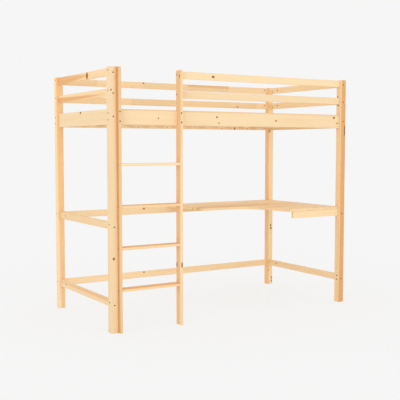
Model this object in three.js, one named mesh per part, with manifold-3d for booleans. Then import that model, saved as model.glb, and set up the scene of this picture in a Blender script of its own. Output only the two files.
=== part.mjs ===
// Pine loft bed for one 900 x 2000 mattress, with a front ladder and a corner desk under it.
// Millimetres, +Z up. The front, with the ladder, faces -Y and the ladder is at the left, -X.
// Pieces are laid out from the outer front left corner of the front left post, at floor level,
// and the whole bed is then shifted so that the origin is at the middle of its footprint.
import * as THREE from 'three';
import { mergeVertices } from 'three/addons/utils/BufferGeometryUtils.js';
import Module from 'manifold-3d';

const wasm = await Module();
wasm.setup();

// Driving dimensions: size over the posts
const LENGTH = 2085;
const DEPTH = 1015;
const HEIGHT = 1800;

// Posts and rails; the rails run in the middle of the posts' faces
const POST_SIDE = 52;
const RAIL_THICKNESS = 18;
const NARROW_HEIGHT = 52;
const WIDE_HEIGHT = 105;
const ARRIS = 2.5;
const TOP_DROP = 4;
const GUARD_GAP = 85;
const LOW_RAIL_Z = 175;

// Ladder: two uprights notched over the wide front rail, and treads between them
const UPRIGHT_THICKNESS = 22;
const UPRIGHT_DEPTH = 60;
const LADDER_CLEAR = 453;
const NOTCH_CLEARANCE = 0.3;
const TREAD_COUNT = 4;
const TREAD_PITCH = 285;
const FIRST_TREAD_TOP = 300;
const TREAD_THICKNESS = 18;
const TREAD_DEPTH = 76;

// Desk: a glued panel on the middle rails, with a return that runs forward at the right
const DESK_TOP_Z = 780;
const DESK_THICKNESS = 20;
const DESK_LENGTH = 1080;
const DESK_WIDTH = 548;
const DESK_RETURN = 528;
const DESK_CURVE_LENGTH = 290;
const DESK_CURVE_DROP = 200;
const DESK_CURVE_FLATNESS = 0.62;
const DESK_CURVE_STEPS = 8;
const DESK_SLANT = 50;
const DESK_CORNER = 8;
const DESK_CLEARANCE = 1;
const SUPPORT_LENGTH = 464;

// Slatted base on ledges that run inside the wide long rails
const SLAT_COUNT = 15;
const SLAT_WIDTH = 70;
const SLAT_THICKNESS = 16;
const SLAT_END_CLEARANCE = 1;
const SLAT_POST_GAP = 1.5;
const LEDGE_HEIGHT = 20;
const LEDGE_DEPTH = 22;
const LEDGE_END_CLEARANCE = 2;

// Bolts, the cross nuts in the rails and the threaded inserts in the ladder
const BOLT_DIAMETER = 6;
const BOLT_HEAD_DIAMETER = 10;
const BOLT_HEAD_LENGTH = 5;
const BOLT_SUNK = 3;
const BOLT_OFFSET = 8.5;
const WIDE_BOLT_SPREAD = 46;
const LADDER_BOLT_SPREAD = 65;
const HOLE_CLEARANCE = 0.3;
const NUT_DIAMETER = 10;
const NUT_LENGTH = 14;
const NUT_REACH = 32;
const NUT_INSET = 1;
const TIP_PAST_MIDDLE = 3;
const INSERT_DIAMETER = 9;
const INSERT_LENGTH = 12;
const SHAFT_SIDES = 6;
const HEAD_SIDES = 8;

// How far a cutter reaches past the face that it opens, and how near points are welded
const CUT_PAST = 1;
const WELD_DISTANCE = 1e-4;

// Heights and lines that follow from the driving dimensions
const SETBACK = (POST_SIDE - RAIL_THICKNESS) / 2;
const POST_MIDDLE = POST_SIDE / 2;
const UPPER_GUARD_Z = HEIGHT - TOP_DROP - NARROW_HEIGHT;
const LOWER_GUARD_Z = UPPER_GUARD_Z - GUARD_GAP - NARROW_HEIGHT;
const WIDE_RAIL_Z = LOWER_GUARD_Z - GUARD_GAP - WIDE_HEIGHT;
const DESK_BOTTOM_Z = DESK_TOP_Z - DESK_THICKNESS;
const MIDDLE_RAIL_Z = DESK_BOTTOM_Z - NARROW_HEIGHT;
const SLAT_BOTTOM_Z = WIDE_RAIL_Z + LEDGE_HEIGHT;
const RAIL_INNER = SETBACK + RAIL_THICKNESS;
const UPRIGHT_REAR = RAIL_INNER;
const UPRIGHT_FRONT = UPRIGHT_REAR - UPRIGHT_DEPTH;
const LADDER_LEFT = POST_SIDE;
const LADDER_INNER_LEFT = LADDER_LEFT + UPRIGHT_THICKNESS;
const LADDER_INNER_RIGHT = LADDER_INNER_LEFT + LADDER_CLEAR;
const LADDER_RIGHT = LADDER_INNER_RIGHT + UPRIGHT_THICKNESS;
const RIGHT_POST_FACE = LENGTH - POST_SIDE;
const BACK_POST_FACE = DEPTH - POST_SIDE;

const X_AXIS = new THREE.Vector3(1, 0, 0);
const Y_AXIS = new THREE.Vector3(0, 1, 0);
const Z_AXIS = new THREE.Vector3(0, 0, 1);

// Finishes: untreated pine in three tones, and zinc plated steel
const PINE_PALE = { color: 0xf6dcb2, roughness: 0.62, metalness: 0 };
const PINE_WARM = { color: 0xedc592, roughness: 0.62, metalness: 0 };
const PINE_DEEP = { color: 0xe0ac6c, roughness: 0.6, metalness: 0 };
const STEEL = { color: 0x8d8a83, roughness: 0.35, metalness: 1 };

// Pieces by name: each holds its solid in layout coordinates and its finish
const pieces = new Map();

function solidOf(geometry) {
  const bare = geometry.clone();
  bare.deleteAttribute('normal');
  bare.deleteAttribute('uv');
  const merged = mergeVertices(bare, WELD_DISTANCE);
  const triVerts = [];
  for (let i = 0; i < merged.index.count; i += 3) {
    const corners = [0, 1, 2].map((corner) => merged.index.getX(i + corner));
    if (new Set(corners).size === 3) triVerts.push(...corners);
  }
  return new wasm.Manifold(new wasm.Mesh({
    numProp: 3,
    vertProperties: new Float32Array(merged.attributes.position.array),
    triVerts: new Uint32Array(triVerts),
  }));
}

function geometryOf(solid, centre) {
  const mesh = solid.getMesh();
  const geometry = new THREE.BufferGeometry();
  const positions = new Float32Array(mesh.vertProperties);
  geometry.setAttribute('position', new THREE.BufferAttribute(positions, 3));
  geometry.setIndex(new THREE.BufferAttribute(new Uint32Array(mesh.triVerts), 1));
  geometry.translate(-centre.x, -centre.y, -centre.z);
  geometry.computeVertexNormals();
  return geometry;
}

// A rectangle with its four corners eased, centred on the origin
function easedRectangle(width, height) {
  const x = width / 2;
  const y = height / 2;
  const shape = new THREE.Shape();
  shape.moveTo(-x + ARRIS, -y);
  shape.lineTo(x - ARRIS, -y);
  shape.lineTo(x, -y + ARRIS);
  shape.lineTo(x, y - ARRIS);
  shape.lineTo(x - ARRIS, y);
  shape.lineTo(-x + ARRIS, y);
  shape.lineTo(-x, y - ARRIS);
  shape.lineTo(-x, -y + ARRIS);
  shape.closePath();
  return shape;
}

// A board between two corners, with its grain and its eased edges along one axis
function addBoard(name, low, high, grain, finish) {
  const size = new THREE.Vector3().subVectors(high, low);
  const across = { x: [size.y, size.z], y: [size.z, size.x], z: [size.x, size.y] }[grain];
  const length = size[grain];
  const geometry = new THREE.ExtrudeGeometry(easedRectangle(...across), {
    depth: length,
    bevelEnabled: false,
  });
  geometry.translate(0, 0, -length / 2);
  const turn = {
    x: [Y_AXIS, Z_AXIS, X_AXIS],
    y: [Z_AXIS, X_AXIS, Y_AXIS],
    z: [X_AXIS, Y_AXIS, Z_AXIS],
  }[grain];
  geometry.applyMatrix4(new THREE.Matrix4().makeBasis(...turn));
  const middle = new THREE.Vector3().addVectors(low, high).multiplyScalar(0.5);
  geometry.translate(middle.x, middle.y, middle.z);
  pieces.set(name, { solid: solidOf(geometry), finish });
}

// A turned solid: profile pairs are radius and distance from the start along the axis
function turned(profile, start, along, sides) {
  const points = profile.map(([radius, distance]) => new THREE.Vector2(radius, distance));
  const geometry = new THREE.LatheGeometry(points, sides);
  geometry.applyQuaternion(new THREE.Quaternion().setFromUnitVectors(Y_AXIS, along));
  geometry.translate(start.x, start.y, start.z);
  return solidOf(geometry);
}

function rod(start, along, diameter, length, sides) {
  const radius = diameter / 2;
  return turned([[0, 0], [radius, 0], [radius, length], [0, length]], start, along, sides);
}

// Diameter of a hole whose flats clear a shaft of the given diameter
function clearing(diameter, sides) {
  return (diameter + 2 * HOLE_CLEARANCE) / Math.cos(Math.PI / sides);
}

function step(point, along, distance) {
  return point.clone().addScaledVector(along, distance);
}

function cut(name, cutter) {
  const piece = pieces.get(name);
  piece.solid = piece.solid.subtract(cutter);
}

// Counterbore and clearance hole for a bolt, from the face where its head sits
function boreForBolt(name, face, along, depth) {
  const sunk = BOLT_SUNK + BOLT_HEAD_LENGTH + HOLE_CLEARANCE;
  const mouth = clearing(BOLT_HEAD_DIAMETER, HEAD_SIDES);
  cut(name, rod(step(face, along, -CUT_PAST), along, mouth, sunk + CUT_PAST, HEAD_SIDES));
  const shaft = clearing(BOLT_DIAMETER, SHAFT_SIDES);
  cut(name, rod(face, along, shaft, depth + CUT_PAST, SHAFT_SIDES));
}

// Holes for a bolt that goes through one piece into a rail's end, and for its cross nut,
// which lies across the rail and goes in from the rail's inner face
function boreForCrossNut(face, along, through, grip, rail, inward) {
  boreForBolt(through, face, along, grip);
  const end = step(face, along, grip);
  const shaft = clearing(BOLT_DIAMETER, SHAFT_SIDES);
  const hole = CUT_PAST + NUT_REACH;
  cut(rail, rod(step(end, along, -CUT_PAST), along, shaft, hole, SHAFT_SIDES));
  const seat = step(end, along, NUT_REACH);
  const mouth = step(seat, inward, RAIL_THICKNESS / 2 + CUT_PAST);
  const pocket = CUT_PAST + NUT_INSET + NUT_LENGTH + HOLE_CLEARANCE;
  const outward = inward.clone().negate();
  cut(rail, rod(mouth, outward, clearing(NUT_DIAMETER, HEAD_SIDES), pocket, HEAD_SIDES));
}

// Holes for a bolt that goes through one piece into a threaded insert in the next
function boreForInsert(face, along, through, grip, receiver) {
  boreForBolt(through, face, along, grip);
  const mouth = step(face, along, grip - CUT_PAST);
  const width = clearing(INSERT_DIAMETER, HEAD_SIDES);
  const hole = CUT_PAST + INSERT_LENGTH + HOLE_CLEARANCE;
  cut(receiver, rod(mouth, along, width, hole, HEAD_SIDES));
}

// A bolt with its head sunk below the post's face and its tip in the cross nut's place
function addBolt(name, face, along) {
  const head = BOLT_HEAD_DIAMETER / 2;
  const shaft = BOLT_DIAMETER / 2;
  const length = POST_SIDE + NUT_REACH + TIP_PAST_MIDDLE - BOLT_SUNK;
  const profile = [
    [0, 0],
    [head, 0],
    [head, BOLT_HEAD_LENGTH],
    [shaft, BOLT_HEAD_LENGTH],
    [shaft, length],
    [0, length],
  ];
  const solid = turned(profile, step(face, along, BOLT_SUNK), along, HEAD_SIDES);
  pieces.set(name, { solid, finish: STEEL });
}

// Posts
const POSTS = {
  front_left: [0, 0],
  front_right: [RIGHT_POST_FACE, 0],
  back_left: [0, BACK_POST_FACE],
  back_right: [RIGHT_POST_FACE, BACK_POST_FACE],
};

function addPosts() {
  for (const [place, [x, y]] of Object.entries(POSTS)) {
    const low = new THREE.Vector3(x, y, 0);
    const high = new THREE.Vector3(x + POST_SIDE, y + POST_SIDE, HEIGHT);
    addBoard(`post_${place}`, low, high, 'z', PINE_WARM);
  }
}

// Rails by name: the side that each is on, its lower edge, its height and where it starts
const LONG_RAILS = {
  guard_rail_front_upper: { side: 'front', z: UPPER_GUARD_Z, height: NARROW_HEIGHT, from: LADDER_RIGHT },
  guard_rail_front_lower: { side: 'front', z: LOWER_GUARD_Z, height: NARROW_HEIGHT, from: LADDER_RIGHT },
  guard_rail_back_upper: { side: 'back', z: UPPER_GUARD_Z, height: NARROW_HEIGHT, from: POST_SIDE },
  guard_rail_back_lower: { side: 'back', z: LOWER_GUARD_Z, height: NARROW_HEIGHT, from: POST_SIDE },
  side_rail_front: { side: 'front', z: WIDE_RAIL_Z, height: WIDE_HEIGHT, from: POST_SIDE },
  side_rail_back: { side: 'back', z: WIDE_RAIL_Z, height: WIDE_HEIGHT, from: POST_SIDE },
  middle_rail_back: { side: 'back', z: MIDDLE_RAIL_Z, height: NARROW_HEIGHT, from: POST_SIDE },
  low_rail_back: { side: 'back', z: LOW_RAIL_Z, height: NARROW_HEIGHT, from: POST_SIDE },
  desk_support_rail: {
    side: 'front',
    z: MIDDLE_RAIL_Z,
    height: NARROW_HEIGHT,
    from: RIGHT_POST_FACE - SUPPORT_LENGTH,
  },
};

const END_RAILS = {
  guard_rail_SIDE_upper: { z: UPPER_GUARD_Z, height: NARROW_HEIGHT },
  guard_rail_SIDE_lower: { z: LOWER_GUARD_Z, height: NARROW_HEIGHT },
  end_rail_SIDE: { z: WIDE_RAIL_Z, height: WIDE_HEIGHT },
  middle_rail_SIDE: { z: MIDDLE_RAIL_Z, height: NARROW_HEIGHT },
  low_rail_SIDE: { z: LOW_RAIL_Z, height: NARROW_HEIGHT },
};

// Bolt heights in a rail's end: long rails above the middle, end rails below it
function boltHeights(rail, long) {
  const middle = rail.z + rail.height / 2;
  if (rail.height !== WIDE_HEIGHT) return [middle + (long ? BOLT_OFFSET : -BOLT_OFFSET)];
  return long ? [middle - WIDE_BOLT_SPREAD / 2, middle + WIDE_BOLT_SPREAD / 2] : [middle];
}

// The bolts that carry the sleeping level are pieces of their own, named for their post
function boltName(post, rail) {
  return `bed_bolt_${post.replace('post_', '')}_${rail}`;
}

function addLongRails() {
  for (const [name, rail] of Object.entries(LONG_RAILS)) {
    const front = rail.side === 'front';
    const y = front ? SETBACK : DEPTH - RAIL_INNER;
    const inward = front ? Y_AXIS : Y_AXIS.clone().negate();
    const low = new THREE.Vector3(rail.from, y, rail.z);
    const high = new THREE.Vector3(RIGHT_POST_FACE, y + RAIL_THICKNESS, rail.z + rail.height);
    addBoard(name, low, high, 'x', PINE_PALE);
    const line = y + RAIL_THICKNESS / 2;
    const ends = [[`post_${rail.side}_right`, LENGTH, X_AXIS.clone().negate()]];
    if (rail.from === POST_SIDE) ends.push([`post_${rail.side}_left`, 0, X_AXIS]);
    for (const [post, face, along] of ends) {
      boltHeights(rail, true).forEach((z, index) => {
        const start = new THREE.Vector3(face, line, z);
        boreForCrossNut(start, along, post, POST_SIDE, name, inward);
        if (rail.height === WIDE_HEIGHT) addBolt(boltName(post, `side_${index + 1}`), start, along);
      });
    }
  }
}

function addEndRails() {
  for (const side of ['left', 'right']) {
    const left = side === 'left';
    const x = left ? SETBACK : LENGTH - RAIL_INNER;
    const inward = left ? X_AXIS : X_AXIS.clone().negate();
    for (const [pattern, rail] of Object.entries(END_RAILS)) {
      const name = pattern.replace('SIDE', side);
      const low = new THREE.Vector3(x, POST_SIDE, rail.z);
      const high = new THREE.Vector3(x + RAIL_THICKNESS, BACK_POST_FACE, rail.z + rail.height);
      addBoard(name, low, high, 'y', PINE_PALE);
      const line = x + RAIL_THICKNESS / 2;
      const ends = [
        [`post_front_${side}`, 0, Y_AXIS],
        [`post_back_${side}`, DEPTH, Y_AXIS.clone().negate()],
      ];
      for (const [post, face, along] of ends) {
        for (const z of boltHeights(rail, false)) {
          const start = new THREE.Vector3(line, face, z);
          boreForCrossNut(start, along, post, POST_SIDE, name, inward);
          if (rail.height === WIDE_HEIGHT) addBolt(boltName(post, 'end'), start, along);
        }
      }
    }
  }
}

function addLadder() {
  const uprights = { ladder_upright_left: LADDER_LEFT, ladder_upright_right: LADDER_INNER_RIGHT };
  const slack = NOTCH_CLEARANCE;
  for (const [name, x] of Object.entries(uprights)) {
    const low = new THREE.Vector3(x, UPRIGHT_FRONT, 0);
    const high = new THREE.Vector3(x + UPRIGHT_THICKNESS, UPRIGHT_REAR, HEIGHT);
    addBoard(name, low, high, 'z', PINE_DEEP);

    // Notch over the wide rail, open at the back
    const depth = RAIL_THICKNESS + 2 * slack;
    const height = WIDE_HEIGHT + 2 * slack;
    const notch = new THREE.BoxGeometry(2 * UPRIGHT_THICKNESS, depth, height);
    const middle = WIDE_RAIL_Z + WIDE_HEIGHT / 2;
    notch.translate(x + UPRIGHT_THICKNESS / 2, SETBACK - slack + depth / 2, middle);
    cut(name, solidOf(notch));

    // Two bolts from the upright's front edge into the wide rail
    for (const z of [middle - LADDER_BOLT_SPREAD / 2, middle + LADDER_BOLT_SPREAD / 2]) {
      const start = new THREE.Vector3(x + UPRIGHT_THICKNESS / 2, UPRIGHT_FRONT, z);
      boreForInsert(start, Y_AXIS, name, SETBACK - UPRIGHT_FRONT, 'side_rail_front');
    }
  }

  // The front guard rails butt against the right upright, which is bolted to their ends
  for (const name of ['guard_rail_front_upper', 'guard_rail_front_lower']) {
    const rail = LONG_RAILS[name];
    const z = rail.z + rail.height / 2;
    const start = new THREE.Vector3(LADDER_INNER_RIGHT, POST_MIDDLE, z);
    boreForCrossNut(start, X_AXIS, 'ladder_upright_right', UPRIGHT_THICKNESS, name, Y_AXIS);
  }

  // The front left post is bolted to the left upright at the height of each narrow rail
  for (const z of [UPPER_GUARD_Z, LOWER_GUARD_Z, MIDDLE_RAIL_Z, LOW_RAIL_Z]) {
    const height = z + NARROW_HEIGHT / 2 + BOLT_OFFSET;
    const start = new THREE.Vector3(0, POST_MIDDLE, height);
    boreForInsert(start, X_AXIS, 'post_front_left', POST_SIDE, 'ladder_upright_left');
  }
}

function addTreads() {
  for (let index = 0; index < TREAD_COUNT; index += 1) {
    const name = `ladder_tread_${index + 1}`;
    const top = FIRST_TREAD_TOP + index * TREAD_PITCH;
    const low = new THREE.Vector3(LADDER_INNER_LEFT, UPRIGHT_FRONT, top - TREAD_THICKNESS);
    const high = new THREE.Vector3(LADDER_INNER_RIGHT, UPRIGHT_FRONT + TREAD_DEPTH, top);
    addBoard(name, low, high, 'x', PINE_WARM);
  }
}

// The desk panel: its right corners are cut back round the posts
function addDesk() {
  const right = LENGTH - SETBACK;
  const back = DEPTH - SETBACK;
  const left = right - DESK_LENGTH;
  const edge = back - DESK_WIDTH;
  const front = SETBACK;
  const returnFront = right - DESK_RETURN;
  const returnBack = returnFront - DESK_SLANT;
  const curveStart = returnFront - DESK_CURVE_LENGTH;
  const curveEnd = edge - DESK_CURVE_DROP;
  const postSide = RIGHT_POST_FACE - DESK_CLEARANCE;
  const shape = new THREE.Shape();
  shape.moveTo(left + DESK_CORNER, edge);
  shape.lineTo(curveStart, edge);
  const pullX = (returnBack - curveStart) * DESK_CURVE_FLATNESS;
  const pullY = (edge - curveEnd) / 2;
  const nearX = returnBack - DESK_SLANT / 2;
  shape.bezierCurveTo(curveStart + pullX, edge, nearX, curveEnd + pullY, returnBack, curveEnd);
  shape.lineTo(returnFront, front);
  shape.lineTo(postSide, front);
  shape.lineTo(postSide, POST_SIDE + DESK_CLEARANCE);
  shape.lineTo(right, POST_SIDE + DESK_CLEARANCE);
  shape.lineTo(right, BACK_POST_FACE - DESK_CLEARANCE);
  shape.lineTo(postSide, BACK_POST_FACE - DESK_CLEARANCE);
  shape.lineTo(postSide, back);
  shape.lineTo(left + DESK_CORNER, back);
  shape.absarc(left + DESK_CORNER, back - DESK_CORNER, DESK_CORNER, Math.PI / 2, Math.PI, false);
  shape.absarc(left + DESK_CORNER, edge + DESK_CORNER, DESK_CORNER, Math.PI, Math.PI * 1.5, false);
  const geometry = new THREE.ExtrudeGeometry(shape, {
    depth: DESK_THICKNESS - 2 * ARRIS,
    bevelEnabled: true,
    bevelThickness: ARRIS,
    bevelSize: ARRIS,
    bevelOffset: -ARRIS,
    bevelSegments: 1,
    curveSegments: DESK_CURVE_STEPS,
  });
  geometry.translate(0, 0, DESK_BOTTOM_Z + ARRIS);
  pieces.set('desk_top', { solid: solidOf(geometry), finish: PINE_PALE });
}

function addSlattedBase() {
  const firstSlat = POST_SIDE + SLAT_POST_GAP + SLAT_WIDTH / 2;
  const pitch = (LENGTH - 2 * firstSlat) / (SLAT_COUNT - 1);
  const ledges = {
    slat_ledge_front: RAIL_INNER,
    slat_ledge_back: DEPTH - RAIL_INNER - LEDGE_DEPTH,
  };
  for (const [name, y] of Object.entries(ledges)) {
    const low = new THREE.Vector3(POST_SIDE + LEDGE_END_CLEARANCE, y, WIDE_RAIL_Z);
    const high = new THREE.Vector3(
      RIGHT_POST_FACE - LEDGE_END_CLEARANCE,
      y + LEDGE_DEPTH,
      WIDE_RAIL_Z + LEDGE_HEIGHT,
    );
    addBoard(name, low, high, 'x', PINE_WARM);
  }
  for (let index = 0; index < SLAT_COUNT; index += 1) {
    const name = `slat_${String(index + 1).padStart(2, '0')}`;
    const x = firstSlat + index * pitch;
    const front = RAIL_INNER + SLAT_END_CLEARANCE;
    const top = SLAT_BOTTOM_Z + SLAT_THICKNESS;
    const low = new THREE.Vector3(x - SLAT_WIDTH / 2, front, SLAT_BOTTOM_Z);
    const high = new THREE.Vector3(x + SLAT_WIDTH / 2, DEPTH - front, top);
    addBoard(name, low, high, 'y', PINE_WARM);
  }
}

addPosts();
addLongRails();
addEndRails();
addLadder();
addTreads();
addDesk();
addSlattedBase();

// Scene: one mesh for each piece, placed at its own middle
const bed = new THREE.Group();
const layout = new THREE.Group();
layout.position.set(-LENGTH / 2, -(DEPTH + UPRIGHT_FRONT) / 2, 0);
bed.add(layout);

for (const [name, { solid, finish }] of pieces) {
  const box = solid.boundingBox();
  const low = new THREE.Vector3(...box.min);
  const high = new THREE.Vector3(...box.max);
  const centre = low.add(high).multiplyScalar(0.5);
  const mesh = new THREE.Mesh(geometryOf(solid, centre), new THREE.MeshStandardMaterial(finish));
  mesh.name = name;
  mesh.position.copy(centre);
  layout.add(mesh);
}

export default bed;
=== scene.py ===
"""Pine loft bed with a ladder and a corner desk under it.

Metres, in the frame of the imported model: +X along the bed from the ladder end to the desk end,
+Y from the ladder side to the back, +Z up from the floor. Every board stands for the CAD board
of the same name and takes its size and place from it.
"""
import math
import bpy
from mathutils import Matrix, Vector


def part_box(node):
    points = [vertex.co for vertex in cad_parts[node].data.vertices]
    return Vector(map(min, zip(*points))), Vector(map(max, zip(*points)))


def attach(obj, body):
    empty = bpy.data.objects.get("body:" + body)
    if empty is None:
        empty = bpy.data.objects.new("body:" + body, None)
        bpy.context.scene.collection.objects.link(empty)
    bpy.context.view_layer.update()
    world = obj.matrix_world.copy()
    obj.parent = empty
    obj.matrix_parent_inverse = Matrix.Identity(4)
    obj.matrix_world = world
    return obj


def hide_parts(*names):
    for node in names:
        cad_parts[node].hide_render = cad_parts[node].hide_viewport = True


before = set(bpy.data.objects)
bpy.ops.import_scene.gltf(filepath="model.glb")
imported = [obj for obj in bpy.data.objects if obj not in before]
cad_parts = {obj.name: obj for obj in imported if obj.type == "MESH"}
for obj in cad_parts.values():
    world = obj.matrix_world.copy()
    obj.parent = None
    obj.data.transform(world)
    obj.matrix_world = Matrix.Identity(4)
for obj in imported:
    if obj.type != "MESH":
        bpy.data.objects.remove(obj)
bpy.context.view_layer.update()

import zlib

import bpy
import numpy as np
from mathutils import Euler, Matrix, Vector

MM = 0.001

# Boards: the arris that a moulder leaves along the grain, and the sanded ends
ARRIS = 2.5 * MM
END_EASE = 0.8 * MM
ARRIS_STEPS = 5
EASE_STEPS = 4
DESK_WIDTH = 548 * MM
DESK_SLANT = 50 * MM
DESK_CURVE_LENGTH = 290 * MM
DESK_CURVE_DROP = 200 * MM
DESK_CURVE_FLATNESS = 0.62
DESK_RETURN = 528 * MM
DESK_CORNER = 8 * MM
CORNER_STEPS = 7
DESK_CLEARANCE = 1 * MM
CURVE_POINTS = 33

# Joinery, as in the CAD model
POST_SIDE = 52 * MM
RAIL_THICKNESS = 18 * MM
WIDE_HEIGHT = 105 * MM
NARROW_HEIGHT = 52 * MM
NOTCH_CLEARANCE = 0.3 * MM
BOLT_OFFSET = 8.5 * MM
WIDE_BOLT_SPREAD = 46 * MM
LADDER_BOLT_SPREAD = 65 * MM
BOLT_SUNK = 3 * MM
BOLT_RADIUS = 3 * MM
BOLT_HEAD_RADIUS = 5 * MM
BOLT_HEAD_LENGTH = 5 * MM
HEX_HALF_WIDTH = 2.5 * MM
HEX_DEPTH = 2.6 * MM
HOLE_CLEARANCE = 0.3 * MM
NUT_RADIUS = 5 * MM
NUT_LENGTH = 14 * MM
NUT_REACH = 32 * MM
NUT_INSET = 1 * MM
TIP_PAST_MIDDLE = 3 * MM
INSERT_RADIUS = 4.5 * MM
INSERT_LENGTH = 12 * MM
SPARE_RADIUS = 6 * MM
SPARE_DEPTH = 15 * MM
CUT_PAST = 1 * MM
ROUND_SIDES = 24
THREAD_RINGS = 17
SHARP_ANGLE = 32

# Screws: countersunk, with a cross recess
SCREW_HEAD_RADIUS = 4 * MM
SCREW_HEAD_LENGTH = 2.4 * MM
SCREW_SHANK_RADIUS = 2 * MM
SCREW_RIM = 0.3 * MM
SCREW_SUNK = 0.4 * MM
SCREW_SLACK = 0.15 * MM
TREAD_SCREW_SPREAD = 30 * MM
TREAD_SCREW_FORWARD = 8 * MM
TREAD_SCREW_LENGTH = 50 * MM
SLAT_SCREW_LENGTH = 32 * MM
LEDGE_SCREW_LENGTH = 36 * MM
DESK_SCREW_REACH = 12 * MM
TREADS = 4
SLATS = 15

X = Vector((1, 0, 0))
Y = Vector((0, 1, 0))
Z = Vector((0, 0, 1))

# The outer front left corner of the front left post: distances in the lists below run from it
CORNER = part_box("post_front_left")[0]


# Meshes

def make_object(name, vertices, faces):
    """A mesh object at the origin from an array of points and a list of faces."""
    mesh = bpy.data.meshes.new(name)
    mesh.from_pydata(np.asarray(vertices).tolist(), [], faces)
    mesh.validate()
    item = bpy.data.objects.new(name, mesh)
    bpy.context.scene.collection.objects.link(item)
    return item


def grid_faces(rows, columns):
    """Quads between neighbouring rows of a grid whose columns close into a ring."""
    row, column = np.meshgrid(np.arange(rows - 1), np.arange(columns), indexing="ij")
    following = (column + 1) % columns
    corners = [row * columns + column, row * columns + following,
               (row + 1) * columns + following, (row + 1) * columns + column]
    return np.stack(corners, axis=-1).reshape(-1, 4)


def lofted(rings):
    """Points and faces of a closed solid through rings of points, its two ends flat."""
    rings = np.asarray(rings)
    rows, columns = rings.shape[:2]
    faces = grid_faces(rows, columns).tolist()
    faces.append(list(range(columns))[::-1])
    faces.append([(rows - 1) * columns + index for index in range(columns)])
    return rings.reshape(-1, 3), faces


def joined(parts):
    """One set of points and faces from several."""
    points, faces, start = [], [], 0
    for part_points, part_faces in parts:
        points.append(part_points)
        faces.extend([[index + start for index in face] for face in part_faces])
        start += len(part_points)
    return np.concatenate(points), faces


def basis(along):
    """Two directions square to the given one, turned right-handed with it."""
    side = Vector((along.y, along.z, along.x))
    return np.array(side), np.array(along.cross(side))


def turned(profile, start, along, outline=None):
    """A turned solid: ring k has profile[k] = (distance, radius, share of the outline).

    A point at angle a of ring k lies at start + distance * along + r(a), where r(a) is the
    radius, blended by the share towards radius * outline(a), so a ring can be a hexagon or
    a cross in place of a circle.
    """
    angle = np.linspace(0, 2 * np.pi, ROUND_SIDES, endpoint=False)
    distance, radius, share = np.array(profile).T
    shape = np.ones_like(angle) if outline is None else outline(angle)
    reach = radius[:, None] * (1 + share[:, None] * (shape[None, :] - 1))
    side, up = basis(along)
    flat = np.cos(angle)[None, :, None] * side + np.sin(angle)[None, :, None] * up
    rings = (np.array(start) + distance[:, None, None] * np.array(along)
             + reach[:, :, None] * flat)
    return lofted(rings)


def hexagon(angle):
    """Distance to the edge of a hexagon whose flats are 1 from the middle."""
    return 1 / np.cos((angle + np.pi / 6) % (np.pi / 3) - np.pi / 6)


def cross(angle):
    """Distance to the edge of a plus sign with arms 1 long and 0.5 wide."""
    slant = np.minimum(np.abs(np.sin(angle)), np.abs(np.cos(angle)))
    return np.minimum(1, 0.25 / np.maximum(slant, 0.25))


def screw_slot(angle):
    """Distance to the edge of a slot 1 long each way and 0.4 wide."""
    return np.minimum(1, 0.2 / np.maximum(np.abs(np.sin(angle)), 0.2))


def finish(item):
    """Round faces shaded smooth, flat faces kept flat, and the piece put on the bed's body."""
    mesh = item.data
    mesh.polygons.foreach_set("use_smooth", np.ones(len(mesh.polygons), dtype=bool))
    mesh.set_sharp_from_angle(angle=math.radians(SHARP_ANGLE))
    weighted = item.modifiers.new("flat faces stay flat", "WEIGHTED_NORMAL")
    weighted.keep_sharp = True
    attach(item, "root")


# Bolt lines: each bolt's start on the outer face, its direction and the boards that it joins

def middle(node):
    """The middle of a CAD node's box."""
    low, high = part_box(node)
    return (low + high) / 2


def bolt_heights(node, long_rail):
    """Heights of the bolts in a rail's end: two in a wide long rail, one in any other."""
    low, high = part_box(node)
    centre = (low.z + high.z) / 2
    wide = high.z - low.z > (WIDE_HEIGHT + NARROW_HEIGHT) / 2
    if not wide:
        return [centre + (BOLT_OFFSET if long_rail else -BOLT_OFFSET)]
    if long_rail:
        return [centre - WIDE_BOLT_SPREAD / 2, centre + WIDE_BOLT_SPREAD / 2]
    return [centre]


LONG_RAILS = {
    "front": ["guard_rail_front_upper", "guard_rail_front_lower", "side_rail_front",
              "desk_support_rail"],
    "back": ["guard_rail_back_upper", "guard_rail_back_lower", "side_rail_back",
             "middle_rail_back", "low_rail_back"],
}
END_RAILS = {
    side: [f"guard_rail_{side}_upper", f"guard_rail_{side}_lower", f"end_rail_{side}",
           f"middle_rail_{side}", f"low_rail_{side}"]
    for side in ("left", "right")
}
bed_low, bed_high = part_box("post_front_left")[0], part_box("post_back_right")[1]


def under_bed(rail):
    """The rails under the bed, whose cross nuts go in from the right or from the back."""
    return rail.startswith(("middle_rail", "low_rail"))


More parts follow.
